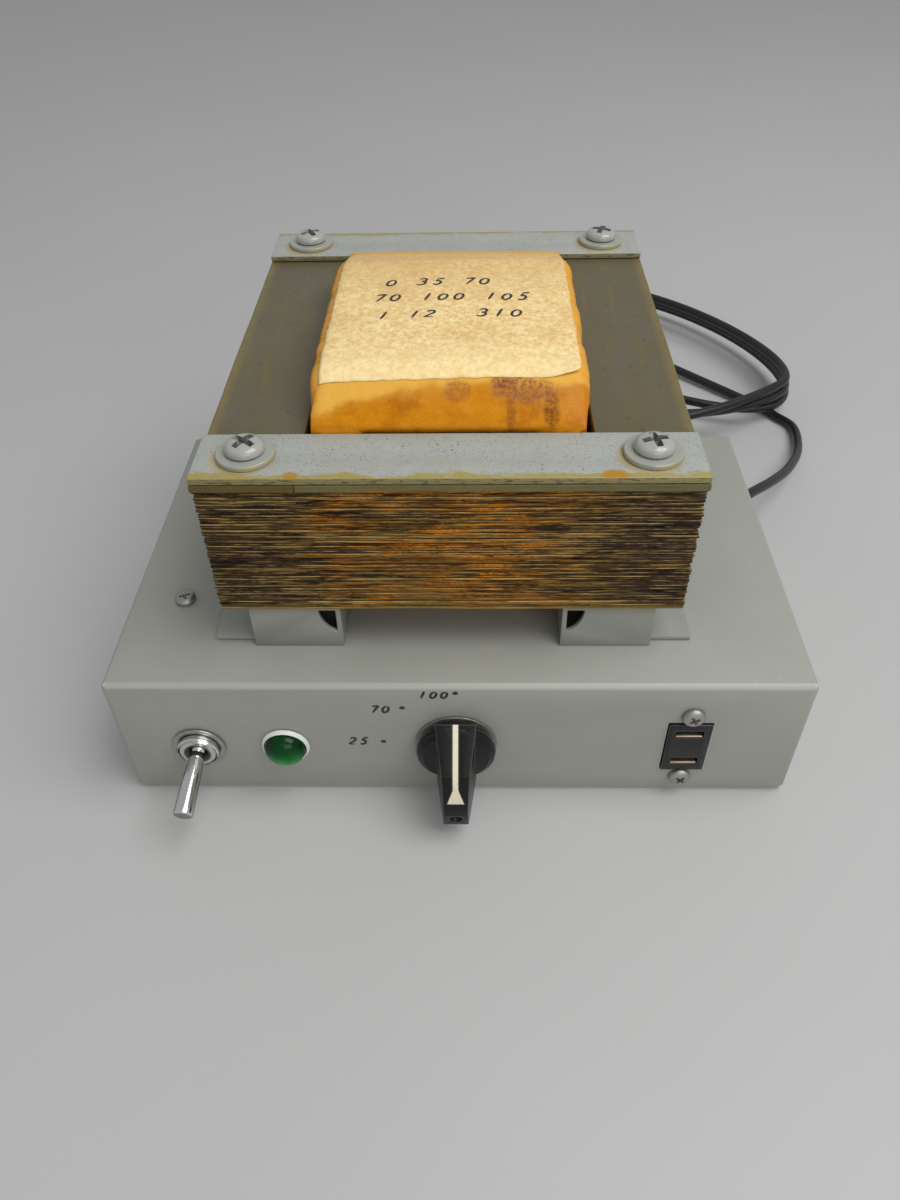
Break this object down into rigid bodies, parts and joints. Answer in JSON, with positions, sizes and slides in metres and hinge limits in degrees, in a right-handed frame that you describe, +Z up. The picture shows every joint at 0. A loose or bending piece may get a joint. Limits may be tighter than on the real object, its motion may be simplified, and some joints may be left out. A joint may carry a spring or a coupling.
{
  "type": "tapped mains transformer unit",
  "caption": "Tapped mains transformer on pressed feet over a folded steel chassis, with toggle switch, lamp, tap selector knob, flat-blade outlet and coiled mains cord.",
  "frame": {"origin": "centre of the chassis underside, on the table", "axes": "+Z up, +X to the right seen from the front, -Y out of the front panel; the core overhangs and the cord lies towards +Y"},
  "size_m": [0.2675, 0.3781, 0.1259],
  "materials": {
    "chassis_paint": "satin grey paint",
    "light_paint": "satin light grey paint, varnish stained",
    "core_steel": "varnished silicon steel strip, rusty at the cut edges",
    "zinc": "bright zinc plate",
    "steel": "plain steel",
    "chrome": "bright plate",
    "brass": "dull contact strip",
    "copper_wire": null,
    "pressboard": "brown insulating board",
    "varnished_paper": "amber varnished paper",
    "label_paper": "cream paper, mottled by varnish",
    "black_plastic": "gloss black",
    "cord_black": "matte black",
    "white_plastic": "satin white",
    "green_lens": "clear green",
    "cream_inlay": "cream inlay"
  },
  "bodies": {
    "chassis": {"bottom_cover": "chassis_paint", "chassis_box": "chassis_paint", "clamp_bolt_front_left": "light_paint", "clamp_bolt_front_right": "light_paint", "clamp_bolt_rear_left": "light_paint", "clamp_bolt_rear_right": "light_paint", "clamp_nut_front_left": "zinc", "clamp_nut_front_right": "zinc", "clamp_nut_rear_left": "zinc", "clamp_nut_rear_right": "zinc", "clamp_strap_front": "light_paint", "clamp_strap_rear": "light_paint", "clamp_washer_front_left": "light_paint", "clamp_washer_front_right": "light_paint", "clamp_washer_rear_left": "light_paint", "clamp_washer_rear_right": "light_paint", "coil_former": "pressboard", "coil_label": "label_paper", "coil_wrap": "varnished_paper", "cord_grommet": "cord_black", "core_limb_centre": "core_steel", "core_limb_left": "core_steel", "core_limb_right": "core_steel", "core_yoke_front": "core_steel", "core_yoke_rear": "core_steel", "cover_screw_front_left": "zinc", "cover_screw_front_right": "zinc", "cover_screw_rear_left": "zinc", "cover_screw_rear_right": "zinc", "foot_left": "light_paint", "foot_right": "light_paint", "foot_screw_left_front": "zinc", "foot_screw_left_rear": "zinc", "foot_screw_right_front": "zinc", "foot_screw_right_rear": "zinc", "lamp_housing": "white_plastic", "lamp_lens": "green_lens", "mains_cord": "cord_black", "outlet_body": "black_plastic", "outlet_contact_lower": "brass", "outlet_contact_upper": "brass", "outlet_screw_lower": "zinc", "outlet_screw_upper": "zinc", "plug_blade_front": "brass", "plug_blade_rear": "brass", "plug_body": "cord_black", "selector_body": "black_plastic", "selector_nut": "chrome", "tag_strip": "pressboard", "tag_strip_screw": "zinc", "tap_lead_sleeve": "pressboard", "toggle_body": "chrome", "toggle_nut": "chrome", "toggle_washer": "steel", "winding": "copper_wire"},
    "toggle_lever": {"toggle_lever": "chrome"},
    "selector": {"selector_shaft": "steel", "selector_knob": "black_plastic", "knob_pointer": "cream_inlay", "knob_set_screw": "steel"}
  },
  "joints": [
    {"name": "toggle_throw", "type": "hinge", "parent": "chassis", "child": "toggle_lever", "pos_m": [-0.0799, -0.0658, 0.0227], "axis": [-0.9659, 0, 0.2588], "range_deg": [0, 27]},
    {"name": "selector_turn", "type": "hinge", "parent": "chassis", "child": "selector", "pos_m": [-0.0005, -0.065, 0.0248], "axis": [0, 1, 0], "range_deg": [-90, 0]}
  ]
}
